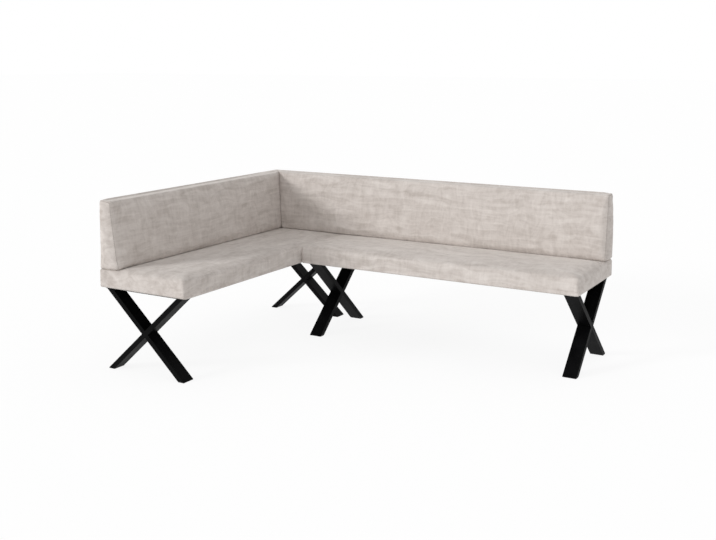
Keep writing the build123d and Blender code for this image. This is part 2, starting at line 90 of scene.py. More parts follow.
# Bands of a seat: where each starts and how far it fades, in metres
SEAT_ENDS_MOVED = (0.0, 0.03)
OVERLAP_BEHIND_CORNER = (0.005, 0.03)
UNDER_BACK = (0.0, 0.02)
SEAT_SOFT_ABOVE = (0.006, 0.03)
LONG_SOFT_PAST_SEAM = (-0.01, 0.04)
SHORT_SOFT_BEFORE_CORNER = (-0.06, 0.05)
SHORT_SOFT_BEFORE_SEAM = (-0.08, 0.03)
SEAT_SOFT_END = (0.0, 0.05)
SEAT_END_HELD = (0.0, 0.01)
LONG_JOINT_HELD = (0.0, 0.05)
SHORT_JOINT_HELD = (0.0, 0.03)
HELD_BEHIND_CORNER = (-0.02, 0.02)
SEAT_BASE_LAID = (0.01, 0.01)
SEAT_TOP_LAID = (0.005, 0.01)

# Bands of a back
MITRE_MOVED = (0.0, 0.012)
BACK_SOFT_END = (0.01, 0.05)
BACK_SOFT_ABOVE = (0.01, 0.04)
BACK_FIRM_TOP = (-0.05, 0.03)
FOOT_SOFT = (0.02, 0.03)
FOOT_SOFT_FROM_WALL = (0.06, 0.02)
MITRE_SOFT = (0.0, 0.015)
MITRE_SOFT_FROM_WALL = (0.03, 0.02)
FOOT_FIRM_END = (0.0, 0.06)
MITRE_HELD = (0.0, 0.02)
BACK_WALL_HELD = (0.0, 0.006)
FOOT_LAID = (0.004, 0.01)
FOOT_LAID_FROM_WALL = (0.085, 0.015)
FOOT_LAID_FROM_END = (0.012, 0.01)
WALL_LAID_FROM_END = (0.03, 0.03)

# Bands of both
BASE_HELD = (0.0, 0.012)
WALL_LAID = (0.01, 0.01)

# Shares by which a band counts
SOFT_UNDER_BACK = 0.3
SEAT_END_HOLD = 0.7
TOP_FIRMNESS = 0.7
MITRE_SOFTNESS = 0.6
FOOT_END_FIRMNESS = 0.5

# Seams round the ends of the backs, lengths in metres, turn in degrees
SEAM_INSET = 0.013
SEAM_SUNK = 0.0005
SEAM_RADIUS = 0.0009
SEAM_START = 0.005
SEAM_STEP = 0.007
SEAM_STOP = 0.006
SEAM_TURN = 6
SEAM_LOOK = 0.2

# Dust cloths and staples, in metres; the ripples' waves are counted per metre
HEM_OVERLAP = 0.010
HEM_WIDTH = 0.012
HEM_THICK = 0.0004
SHEET_STEP = 0.006
SHEET_GAP = 0.0003
SHEET_SAG = 0.002
SAG_REACH = 0.07
RIPPLE = 0.0006
RIPPLE_WAVES = 14
RIPPLE_REACH = 0.03
PUCKER = 0.0005
PUCKER_REACH = 0.02
CLOTH_THICK = 0.0004
STAPLE_STEP = 0.045
STAPLE_WIDTH = 0.010
STAPLE_WIRE = 0.0004
STAPLE_LEG = 4 * STAPLE_WIRE

# Velvet: how far its bands wander, in metres, how much painted shade darkens the colour along a crease, and
# how much a crease sinks
VELVET_WANDER = 0.08
CREASE_PAINTED_SHADE = 0.16
CREASE_DEPTH = 0.25

# Light: the key's softness is in degrees, the floor's reach in metres
SKY_LOW = 0.875
SKY_HIGH = 0.55
KEY = 1.44
KEY_TRAVEL = (1.85, 2.4, -1.0)
KEY_SOFTNESS = 14.0
FLOOR_REACH = 60.0
FLOOR_WHITE = 0.85
FLOOR_WHITE_STRENGTH = 1.03

# Colours, linear
WHITE = (1.0, 1.0, 1.0, 1.0)
FLOOR_COLOUR = (0.97, 0.97, 0.97, 1.0)
VELVET_DARK = (0.455, 0.405, 0.370)
VELVET_MID = (0.590, 0.538, 0.502)
VELVET_LIGHT = (0.700, 0.648, 0.610)
VELVET_SHEEN = (1.0, 0.97, 0.94, 1.0)
THREAD = (0.30, 0.265, 0.24)
BLACK_COAT_DARK = (0.0020, 0.0020, 0.0022)
BLACK_COAT_LIGHT = (0.0042, 0.0042, 0.0045)
PLASTIC_DARK = (0.010, 0.010, 0.010)
PLASTIC_LIGHT = (0.022, 0.022, 0.022)
CLOTH_DARK = (0.012, 0.012, 0.013)
CLOTH_LIGHT = (0.034, 0.034, 0.036)
ZINC = (0.62, 0.63, 0.65)
WIRE = (0.38, 0.38, 0.39)
PINE = ((0.42, 0.27, 0.13), (0.62, 0.44, 0.25))
PLYWOOD = ((0.47, 0.33, 0.19), (0.64, 0.48, 0.31))
HARDBOARD = ((0.30, 0.20, 0.12), (0.44, 0.31, 0.19))


# Mesh helpers

def object_from(fill, name):
    """A new mesh object made by a function that fills a bmesh."""
    bm = bmesh.new()
    fill(bm)
    mesh = bpy.data.meshes.new(name)
    bm.to_mesh(mesh)
    bm.free()
    piece = bpy.data.objects.new(name, mesh)
    bpy.context.scene.collection.objects.link(piece)
    return piece


def tube(bm, points, radius, sides=6):
    """A round wire through points."""
    points = [Vector(point) for point in points]
    rings = []
    for index, point in enumerate(points):
        ahead = points[min(index + 1, len(points) - 1)]
        behind = points[max(index - 1, 0)]
        turn = (ahead - behind).to_track_quat("Z", "Y")
        ring = []
        for step in range(sides):
            angle = 2 * math.pi * step / sides
            spoke = turn @ Vector((math.cos(angle), math.sin(angle), 0))
            ring.append(bm.verts.new(point + radius * spoke))
        rings.append(ring)
    for ring, following in zip(rings, rings[1:]):
        for step in range(sides):
            beside = (step + 1) % sides
            bm.faces.new((ring[step], ring[beside], following[beside], following[step]))
    bm.faces.new(list(reversed(rings[0])))
    bm.faces.new(rings[-1])


def apply_modifiers(piece):
    """Keeps the mesh as its modifiers leave it."""
    graph = bpy.context.evaluated_depsgraph_get()
    mesh = bpy.data.meshes.new_from_object(piece.evaluated_get(graph))
    old = piece.data
    piece.modifiers.clear()
    piece.data = mesh
    bpy.data.meshes.remove(old)


def smooth(piece):
    """Shades every face smooth."""
    for polygon in piece.data.polygons:
        polygon.use_smooth = True


def points_of(piece):
    """Vertex places as an array."""
    places = np.zeros(len(piece.data.vertices) * 3)
    piece.data.vertices.foreach_get("co", places)
    return places.reshape(-1, 3)


def set_points(piece, places):
    """Writes vertex places back."""
    piece.data.vertices.foreach_set("co", places.astype(np.float32).ravel())
    piece.data.update()


def weigh(piece, name, weights):
    """Vertex group that holds the weights above zero."""
    group = piece.vertex_groups.new(name=name)
    for index in np.nonzero(weights > 0)[0]:
        group.add([int(index)], float(weights[index]), "REPLACE")


# Materials

class Nodes:
    """Short calls for building the node tree of its owner, a material or a world."""

    def __init__(self, owner):
        self.owner = owner
        self.owner.use_nodes = True
        self.tree = self.owner.node_tree
        self.shader = self.tree.nodes.get("Principled BSDF")

    def add(self, kind, **settings):
        node = self.tree.nodes.new(kind)
        for key, value in settings.items():
            setattr(node, key, value)
        return node

    def link(self, source, target):
        self.tree.links.new(source, target)

    def into(self, source, socket):
        """Links a value to one of the shader's sockets."""
        self.link(source, self.shader.inputs[socket])

    def set(self, **values):
        """Sets the shader's own sockets, with _ for each blank in a name."""
        for key, value in values.items():
            self.shader.inputs[key.replace("_", " ")].default_value = value

    def coordinates(self, scale=(1, 1, 1)):
        place = self.add("ShaderNodeTexCoord")
        return self.stretched(place.outputs["Object"], scale)

    def stretched(self, vector, scale):
        mapping = self.add("ShaderNodeMapping")
        mapping.inputs["Scale"].default_value = scale
        self.link(vector, mapping.inputs["Vector"])
        return mapping.outputs["Vector"]

    def noise(self, vector, scale, detail, roughness=0.5, distortion=0.0, output="Fac"):
        node = self.add("ShaderNodeTexNoise")
        node.inputs["Scale"].default_value = scale
        node.inputs["Detail"].default_value = detail
        node.inputs["Roughness"].default_value = roughness
        node.inputs["Distortion"].default_value = distortion
        self.link(vector, node.inputs["Vector"])
        return node.outputs[output]

    def math(self, operation, a, b):
        node = self.add("ShaderNodeMath", operation=operation)
        for socket, value in zip(node.inputs, (a, b)):
            if isinstance(value, (int, float)):
                socket.default_value = value
            else:
                self.link(value, socket)
        return node.outputs["Value"]

    def mixed(self, *parts):
        """Sum of (value, weight) pairs."""
        total = self.math("MULTIPLY", *parts[0])
        for part in parts[1:]:
            total = self.math("ADD", total, self.math("MULTIPLY", *part))
        return total

    def span(self, value, low, high, to_low=0.0, to_high=1.0):
        node = self.add("ShaderNodeMapRange")
        node.inputs["From Min"].default_value = low
        node.inputs["From Max"].default_value = high
        node.inputs["To Min"].default_value = to_low
        node.inputs["To Max"].default_value = to_high
        self.link(value, node.inputs["Value"])
        return node.outputs["Result"]

    def ramp(self, value, *colours):
        """Colours spread evenly from 0 to 1."""
        node = self.add("ShaderNodeValToRGB")
        elements = node.color_ramp.elements
        while len(elements) < len(colours):
            elements.new(1.0)
        for index, colour in enumerate(colours):
            elements[index].position = index / (len(colours) - 1)
            elements[index].color = (*colour, 1.0)
        self.link(value, node.inputs["Fac"])
        return node.outputs["Color"]

    def bump(self, height, strength, distance, below=None):
        node = self.add("ShaderNodeBump")
        node.inputs["Strength"].default_value = strength
        node.inputs["Distance"].default_value = distance
        self.link(height, node.inputs["Height"])
        if below is not None:
            self.link(below, node.inputs["Normal"])
        return node.outputs["Normal"]

    def seen_directly(self):
        """1 for rays from the camera, off a gloss or through glass."""
        path = self.add("ShaderNodeLightPath")
        shown = self.math("MAXIMUM", path.outputs["Is Camera Ray"], path.outputs["Is Glossy Ray"])
        return self.math("MAXIMUM", shown, path.outputs["Is Transmission Ray"])

    def mix_shaders(self, share, first, second, target):
        mix = self.add("ShaderNodeMixShader")
        self.link(share, mix.inputs["Fac"])
        self.link(first, mix.inputs[1])
        self.link(second, mix.inputs[2])
        self.link(mix.outputs["Shader"], target)


def velvet(name, along_x):
    """Crushed velvet: wandering bands along the arm, short strokes, clouds, and creases that sink in the
    bump and carry painted shade in the colour.
    """
    make = Nodes(bpy.data.materials.new(name))
    plain = make.coordinates()
    wander = make.noise(plain, scale=3.4, detail=3.0, output="Color")
    shift = make.add("ShaderNodeVectorMath", operation="MULTIPLY_ADD")
    make.link(wander, shift.inputs[0])
    shift.inputs[1].default_value = (VELVET_WANDER, VELVET_WANDER, VELVET_WANDER)
    make.link(plain, shift.inputs[2])
    bent = shift.outputs["Vector"]

    band = (4.5, 17.0, 36.0) if along_x else (17.0, 4.5, 36.0)
    stroke = (46.0, 22.0, 13.0) if along_x else (22.0, 46.0, 13.0)
    fold = (5.0, 5.0, 9.0)
    bands = make.noise(make.stretched(bent, band), scale=1.0, detail=6.0, roughness=0.62, distortion=0.9)
    strokes = make.noise(make.stretched(bent, stroke), scale=1.0, detail=5.0, roughness=0.6, distortion=0.8)
    clouds = make.noise(plain, scale=9.0, detail=7.0, roughness=0.66, distortion=1.6)
    folds = make.noise(make.stretched(bent, fold), scale=1.0, detail=3.0, distortion=0.6)
    off_fold = make.math("ABSOLUTE", make.math("SUBTRACT", folds, 0.5), 0.0)
    crease = make.span(off_fold, 0.0, 0.02, to_low=1.0, to_high=0.0)
    creased = make.span(make.noise(plain, scale=2.6, detail=2.0), 0.5, 0.62)
    crease = make.math("MULTIPLY", crease, creased)

    nap = make.mixed((bands, 0.44), (strokes, 0.24), (clouds, 0.32))
    value = make.span(nap, 0.36, 0.64)
    fine = make.noise(plain, scale=900.0, detail=3.0, roughness=0.7)
    speckle = make.span(fine, 0.3, 0.7, to_low=-0.05, to_high=0.05)
    speckled_tone = make.math("ADD", value, speckle)
    # Painted shade: the creases darken the base colour
    shade = make.math("SUBTRACT", speckled_tone, make.math("MULTIPLY", crease, CREASE_PAINTED_SHADE))
    make.into(make.ramp(shade, VELVET_DARK, VELVET_MID, VELVET_LIGHT), "Base Color")
    make.into(make.span(value, 0.0, 1.0, to_low=0.92, to_high=0.72), "Roughness")
    make.set(Sheen_Weight=0.35, Sheen_Roughness=0.45, Sheen_Tint=VELVET_SHEEN, Specular_IOR_Level=0.18)
    pile = make.bump(fine, strength=0.22, distance=0.0006)
    relief = make.math("SUBTRACT", nap, make.math("MULTIPLY", crease, CREASE_DEPTH))
    make.into(make.bump(relief, strength=0.3, distance=0.004, below=pile), "Normal")
    return make.owner


def seam_thread():
    """Matt sewing thread."""
    make = Nodes(bpy.data.materials.new("seam_thread"))
    twist = make.noise(make.coordinates(), scale=1500.0, detail=2.0, roughness=0.6)
    dark = tuple(0.75 * part for part in THREAD)
    make.into(make.ramp(twist, dark, THREAD), "Base Color")
    make.set(Roughness=0.8, Specular_IOR_Level=0.2)
    make.into(make.bump(twist, strength=0.4, distance=0.0003), "Normal")
    return make.owner


def powder_coat():
    """Satin black powder coat with a fine orange peel and a faint unevenness."""
    make = Nodes(bpy.data.materials.new("black_powder_coat"))
    space = make.coordinates()
    peel = make.noise(space, scale=700.0, detail=3.0, roughness=0.55)
    cloud = make.noise(space, scale=14.0, detail=4.0, roughness=0.6)
    make.into(make.ramp(make.span(cloud, 0.35, 0.65), BLACK_COAT_DARK, BLACK_COAT_LIGHT), "Base Color")
    make.into(make.span(cloud, 0.3, 0.7, to_low=0.44, to_high=0.56), "Roughness")
    make.set(Specular_IOR_Level=0.04)
    make.into(make.bump(peel, strength=0.25, distance=0.0003), "Normal")
    return make.owner


def timber(name, colours, along):
    """Planed wood with grain along one axis."""
    make = Nodes(bpy.data.materials.new(name))
    fibre = [60.0, 60.0, 60.0]
    fibre[along] = 2.2
    ring = [9.0, 9.0, 9.0]
    ring[along] = 0.7
    grain = make.noise(make.coordinates(fibre), scale=1.0, detail=6.0, roughness=0.6, distortion=0.8)
    rings = make.noise(make.coordinates(ring), scale=1.0, detail=3.0, distortion=1.6)
    mix = make.mixed((grain, 0.55), (rings, 0.45))
    make.into(make.ramp(make.span(mix, 0.36, 0.64), *colours), "Base Color")
    make.into(make.span(grain, 0.3, 0.7, to_low=0.6, to_high=0.8), "Roughness")
    make.set(Specular_IOR_Level=0.3)
    make.into(make.bump(grain, strength=0.25, distance=0.0006), "Normal")
    return make.owner


def bare_metal(name, colour, rough):
    """Zinc plated or drawn steel with a faint cloudy tarnish."""
    make = Nodes(bpy.data.materials.new(name))
    space = make.coordinates()
    cloud = make.noise(space, scale=60.0, detail=5.0, roughness=0.6, distortion=0.4)
    scratch = make.noise(space, scale=900.0, detail=2.0)
    dull = tuple(0.7 * part for part in colour)
    make.into(make.ramp(make.span(cloud, 0.35, 0.65), dull, colour), "Base Color")
    make.into(make.span(cloud, 0.3, 0.7, to_low=rough, to_high=rough + 0.15), "Roughness")
    make.set(Metallic=1.0)
    make.into(make.bump(scratch, strength=0.15, distance=0.0002), "Normal")
    return make.owner


def black_plastic():
    """Moulded black plastic with a fine spark-eroded grain."""
    make = Nodes(bpy.data.materials.new("black_plastic"))
    grain = make.noise(make.coordinates(), scale=1100.0, detail=3.0, roughness=0.6)
    make.into(make.ramp(grain, PLASTIC_DARK, PLASTIC_LIGHT), "Base Color")
    make.into(make.span(grain, 0.3, 0.7, to_low=0.5, to_high=0.65), "Roughness")
    make.into(make.bump(grain, strength=0.3, distance=0.0003), "Normal")
    return make.owner


def spun_cloth():
    """Black spun-bonded cloth with a fine embossed dot grid and stray fibres."""
    make = Nodes(bpy.data.materials.new("spun_cloth"))
    space = make.coordinates()
    dots = make.add("ShaderNodeTexVoronoi")
    dots.inputs["Scale"].default_value = 420.0
    dots.inputs["Randomness"].default_value = 0.15
    make.link(space, dots.inputs["Vector"])
    fibres = make.noise(space, scale=260.0, detail=6.0, roughness=0.75, distortion=2.0)
    height = make.mixed((dots.outputs["Distance"], 0.6), (fibres, 0.4))
    make.into(make.ramp(make.span(height, 0.2, 0.6), CLOTH_DARK, CLOTH_LIGHT), "Base Color")
    make.set(Roughness=0.85, Specular_IOR_Level=0.2)
    make.into(make.bump(height, strength=0.5, distance=0.0006), "Normal")
    return make.owner


def dress(piece, material):
    """Gives a mesh one material."""
    piece.data.materials.clear()
    piece.data.materials.append(material)


def dress_node(name, material):
    """Puts a material on a CAD node's own slots."""
    holder = NODES[name]
    if not holder.material_slots:
        holder.data.materials.append(material)
    for material_slot in holder.material_slots:
        material_slot.link = "OBJECT"
        material_slot.material = material


# Cushions

def near(distance, start, reach):
    """1 up to a start, falling to 0 over a reach."""
    return np.clip(1 - (distance - start) / reach, 0, 1)


def beyond(distance, start, reach):
    """0 up to a start, rising to 1 over a reach."""
    return np.clip((distance - start) / reach, 0, 1)


def most(*weights):
    """The greatest of several weights at each vertex."""
    return np.maximum.reduce(weights)


def hull_piece(node, name, stretch):
    """A closed skin round a CAD node's points, once these are stretched."""
    places = stretch(np.array([vertex.co for vertex in NODES[node].data.vertices]))

    def fill(bm):
        for place in places:
            bm.verts.new(place)
        hull = bmesh.ops.convex_hull(bm, input=bm.verts)
        inner = set(hull["geom_interior"]) | set(hull["geom_unused"])
        spare = [item for item in inner if isinstance(item, bmesh.types.BMVert) and item.is_valid]
        bmesh.ops.delete(bm, geom=spare, context="VERTS")
        bmesh.ops.recalc_face_normals(bm, faces=bm.faces)

    return object_from(fill, name)


def remesh(piece):
    """Even small faces over the whole piece."""
    modifier = piece.modifiers.new("even", "REMESH")
    modifier.mode = "VOXEL"
    modifier.voxel_size = VOXEL
    modifier.use_smooth_shade = True
    apply_modifiers(piece)


def relax(piece, weight, rounds):
    """Rounds the edges by drawing each vertex towards its neighbours."""
    places = points_of(piece)
    edges = np.zeros(len(piece.data.edges) * 2, dtype=np.int64)
    piece.data.edges.foreach_get("vertices", edges)
    first, second = edges.reshape(-1, 2).T
    count = len(places)
    degree = np.bincount(first, minlength=count) + np.bincount(second, minlength=count)
    for _ in range(rounds):
        for axis in range(3):
            column = places[:, axis]
            total = np.bincount(first, column[second], count) + np.bincount(second, column[first], count)
            places[:, axis] = column + (total / degree - column) * weight * RELAX_STEP
    set_points(piece, places)


def add_cloth(piece):
    """Cloth that is blown up a little and held by the group named held."""
    modifier = piece.modifiers.new("cloth", "CLOTH")
    settings = modifier.settings
    settings.quality = 4
    settings.mass = 0.3
    settings.tension_stiffness = 12.0
    settings.compression_stiffness = 12.0
    settings.shear_stiffness = 6.0
    settings.bending_stiffness = 0.6
    settings.vertex_group_mass = "held"
    settings.use_pressure = True
    settings.uniform_pressure_force = PRESSURE
    settings.shrink_min = -LOOSENESS
    settings.effector_weights.gravity = 0.0
    modifier.collision_settings.use_collision = False
    modifier.point_cache.frame_start = 1
    modifier.point_cache.frame_end = CLOTH_FRAMES


def inflate(piece, held):
    """Swells the cover as cloth, up to the cap, and holds the weighted vertices."""
    before = points_of(piece)
    weigh(piece, "held", held)
    add_cloth(piece)
    scene = bpy.context.scene
    for step in range(1, CLOTH_FRAMES + 1):
        scene.frame_set(step)
    apply_modifiers(piece)
    scene.frame_set(1)
    move = points_of(piece) - before
    size = np.linalg.norm(move, axis=1)
    limit = SWELL_CAP * np.tanh(size / SWELL_CAP) / np.maximum(size, SMALLEST_MOVE)
    set_points(piece, before + move * limit[:, None])
    piece.vertex_groups.clear()


def subdivide(piece):
    """Four faces for each one."""
    finer = piece.modifiers.new("finer", "SUBSURF")
    finer.levels = 1
    finer.render_levels = 1
    apply_modifiers(piece)


def settle(piece, form, weight):
    """Lays the weighted vertices on the exact form, and removes the form."""
    weigh(piece, "laid", weight)
    wrap = piece.modifiers.new("laid", "SHRINKWRAP")
    wrap.target = form
    wrap.wrap_method = "NEAREST_SURFACEPOINT"
    wrap.vertex_group = "laid"
    apply_modifiers(piece)
    piece.vertex_groups.clear()
    bpy.data.objects.remove(form)


def declare_cushion(piece, side, part, material):
    """Dresses and declares an upholstered piece."""
    dress(piece, material)
    smooth(piece)
    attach(piece, "root")
    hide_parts(side + part + "_cover", side + part + "_pad")


# Seats

def open_underside(piece, low, high):
    """Takes out the bottom inside the turned-in edge and gives the fabric its thickness."""
    bm = bmesh.new()
    bm.from_mesh(piece.data)
    gone = []
    for face in bm.faces:
        middle = face.calc_center_median()
        inside = (low.x + TURNED_IN < middle.x < high.x - TURNED_IN
                  and low.y + TURNED_IN < middle.y < high.y - TURNED_IN)
        if inside and face.normal.z < UNDERSIDE_SLOPE and middle.z < low.z + UNDERSIDE_DEPTH:
            gone.append(face)
    bmesh.ops.delete(bm, geom=gone, context="FACES")
    bm.to_mesh(piece.data)
    bm.free()
    thick = piece.modifiers.new("fabric", "SOLIDIFY")
    thick.thickness = FABRIC
    thick.offset = -1.0


def under_back(side, x, y):
    """1 where a back stands on a seat, 0 in front of it."""
    behind = beyond(y - BACK_FOOT_Y, *UNDER_BACK)
    if side == "long":
        return behind
    return most(behind, beyond(BACK_FOOT_X - x, *UNDER_BACK))


def move_seat_ends(side, low, high, places):
    """Draws in the long seat's free end and runs its other end on into the short seat."""
    if side == "long":
        places[:, 0] -= SEAT_END_DRAW * near(high.x - places[:, 0], *SEAT_ENDS_MOVED)
        behind = beyond(places[:, 1] - INNER_Y, *OVERLAP_BEHIND_CORNER)
        places[:, 0] -= JOINT_OVERLAP * near(places[:, 0] - low.x, *SEAT_ENDS_MOVED) * behind
    return places


def seat_softness(side, low, high, places):
    """How much each vertex of a seat is rounded: not at the joint, little under the back."""
    x, y, z = places.T
    soft = beyond(z - low.z, *SEAT_SOFT_ABOVE)
    if side == "long":
        soft = soft * beyond(x - SEAM_X, *LONG_SOFT_PAST_SEAM)
        to_end = high.x - x
    else:
        soft = soft * most(near(y - INNER_Y, *SHORT_SOFT_BEFORE_CORNER),
                           near(x - SEAM_X, *SHORT_SOFT_BEFORE_SEAM))
        to_end = y - low.y
    end = near(to_end, *SEAT_SOFT_END)
    return soft * (1 - under_back(side, x, y) * (1 - SOFT_UNDER_BACK * end))


def seat_hold(side, low, high, places, covered):
    """How firmly each vertex of a seat stays in place: the base, the joint, under the back, the free end."""
    x, y, z = places.T
    held = most(near(z - low.z, *BASE_HELD), covered)
    if side == "long":
        end = SEAT_END_HOLD * near(high.x - x, *SEAT_END_HELD)
        return most(held, end, near(x - SEAM_X + JOINT_OVERLAP, *LONG_JOINT_HELD))
    joint = near(SEAM_X - x, *SHORT_JOINT_HELD) * beyond(y - INNER_Y, *HELD_BEHIND_CORNER)
    return most(held, joint)


def seat_laid(side, low, high, places):
    """Where a seat lies on its exact form: the base, the wall sides, the top under the back."""
    x, y, z = places.T
    to_wall = high.y - y
    if side == "short":
        to_wall = np.minimum(to_wall, x - low.x)
    top = under_back(side, x, y) * near(high.z - z, *SEAT_TOP_LAID)
    return most(near(z - low.z, *SEAT_BASE_LAID), top, near(to_wall, *WALL_LAID))


def seat_cushion(side, material):
    """A seat's cushion."""
    node = side + "_seat_cover"
    low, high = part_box(node)

    def stretch(places):
        return move_seat_ends(side, low, high, places)

    piece = hull_piece(node, side + "_seat_upholstery", stretch)
    form = hull_piece(node, side + "_seat_form", stretch)
    remesh(piece)
    places = points_of(piece)
    covered = under_back(side, places[:, 0], places[:, 1])
    soft = seat_softness(side, low, high, places)
    relax(piece, soft, RELAX_ROUNDS)
    inflate(piece, seat_hold(side, low, high, points_of(piece), covered))
    subdivide(piece)
    settle(piece, form, seat_laid(side, low, high, points_of(piece)))
    open_underside(piece, low, high)
    declare_cushion(piece, side, "_seat", material)


# Backs

def past_mitre(side, low, high, places):
    """Distance past a back's mitre plane, negative inside the back, and the plane's normal."""
    way = -1 if side == "long" else 1
    normal = np.array((way, way)) / math.sqrt(2)
    return (places[:, 0] - low.x) * normal[0] + (places[:, 1] - high.y) * normal[1], normal


def from_end_and_wall(side, low, high, places):
    """Distances from a back's free end and from the wall."""
    if side == "long":
        return high.x - places[:, 0], high.y - places[:, 1]
    return places[:, 1] - low.y, places[:, 0] - low.x


def move_mitre(side, low, high, places):
    """Runs a back's mitred end on a little into the other back."""
    past, normal = past_mitre(side, low, high, places)
    move = MITRE_OVERLAP * near(-past, *MITRE_MOVED)
    places[:, 0] += move * normal[0]
    places[:, 1] += move * normal[1]
    return places


def back_softness(side, low, high, places):
    """How much each vertex of a back is rounded: the free end, the foot and the mitre."""
    to_end, to_wall = from_end_and_wall(side, low, high, places)
    past, _ = past_mitre(side, low, high, places)
    above = places[:, 2] - low.z
    end = near(to_end, *BACK_SOFT_END) * beyond(above, *BACK_SOFT_ABOVE)
    end = end * (1 - TOP_FIRMNESS * beyond(places[:, 2] - high.z, *BACK_FIRM_TOP))
    foot = near(above, *FOOT_SOFT) * beyond(to_wall, *FOOT_SOFT_FROM_WALL)
    mitre = MITRE_SOFTNESS * near(-past, *MITRE_SOFT) * beyond(to_wall, *MITRE_SOFT_FROM_WALL)
    foot_end = near(to_end, *FOOT_FIRM_END) * near(above, *FOOT_FIRM_END)
    return most(end, foot, mitre) * (1 - FOOT_END_FIRMNESS * foot_end)


def puff_end(piece, side, low, high):
    """Swells the end panel of a back in its middle and draws in its rim."""
    places = points_of(piece)
    to_end, to_wall = from_end_and_wall(side, low, high, places)
    height = (places[:, 2] - low.z) / (high.z - low.z)
    thickness = BACK_FOOT - (BACK_FOOT - BACK_TOP) * height
    level = 2 * height - 1
    depth = np.clip(2 * to_wall / thickness - 1, -1, 1)
    push = END_PUFF * (1 - depth ** 2) * (1 - level ** 4) - END_DRAW
    push = push * np.exp(-np.clip(to_end, 0, 1) / END_REACH)
    if side == "long":
        places[:, 0] += push
    else:
        places[:, 1] -= push
    set_points(piece, places)


def back_hold(side, low, high, places):
    """How firmly each vertex of a back stays in place: the base, the wall side, the mitre."""
    _, to_wall = from_end_and_wall(side, low, high, places)
    past, _ = past_mitre(side, low, high, places)
    return most(near(places[:, 2] - low.z, *BASE_HELD),
                near(to_wall, *BACK_WALL_HELD),
                near(-past, *MITRE_HELD))


def back_laid(side, low, high, places):
    """Where a back lies on its exact form: the wall side, and the foot over its boards."""
    to_end, to_wall = from_end_and_wall(side, low, high, places)
    wall = near(to_wall, *WALL_LAID) * beyond(to_end, *WALL_LAID_FROM_END)
    foot = near(places[:, 2] - low.z, *FOOT_LAID) * near(to_wall, *FOOT_LAID_FROM_WALL)
    return most(wall, foot * beyond(to_end, *FOOT_LAID_FROM_END))


def back_cushion(side, material):
    """A back's cushion, mitred at the corner and puffed out at its free end."""
    node = side + "_back_cover"
    low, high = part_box(node)

    def stretch(places):
        return move_mitre(side, low, high, places)

    piece = hull_piece(node, side + "_back_upholstery", stretch)
    form = hull_piece(node, side + "_back_form", stretch)
    remesh(piece)
    soft = back_softness(side, low, high, points_of(piece))
    relax(piece, soft, RELAX_ROUNDS)
    puff_end(piece, side, low, high)
    inflate(piece, back_hold(side, low, high, points_of(piece)))
    subdivide(piece)
    settle(piece, form, back_laid(side, low, high, points_of(piece)))
    declare_cushion(piece, side, "_back", material)
    return piece


def end_seam(piece, side, material):
    """Sewn seam round the end panel of a back, up its front and over its top."""
    low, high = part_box(side + "_back_cover")
    tree = bvhtree.BVHTree.FromObject(piece, bpy.context.evaluated_depsgraph_get())
    inner = BACK_TOP / 2
    top = high.z - inner

    def meet(out, height, angle):
        """Place on the cushion, seen along a slope. out is the distance from the wall."""
        if side == "long":
            look = Vector((0, -math.cos(angle), math.sin(angle)))
            start = Vector((high.x - SEAM_INSET, high.y - out, height))
        else:
            look = Vector((math.cos(angle), 0, math.sin(angle)))
            start = Vector((low.x + out, low.y + SEAM_INSET, height))
        place, normal, _, _ = tree.ray_cast(start + SEAM_LOOK * look, -look)
        return place - SEAM_SUNK * normal

    path = [meet(inner, height, 0) for height in np.arange(low.z + SEAM_START, top, SEAM_STEP)]
    path += [meet(inner, top, math.radians(angle)) for angle in range(0, 90, SEAM_TURN)]
    path += [meet(out, top, math.pi / 2) for out in np.arange(inner, SEAM_STOP, -SEAM_STEP)]
    line = object_from(lambda bm: tube(bm, path, SEAM_RADIUS), side + "_end_seam")
    smooth(line)
    dress(line, material)
    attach(line, "root")


# Underside

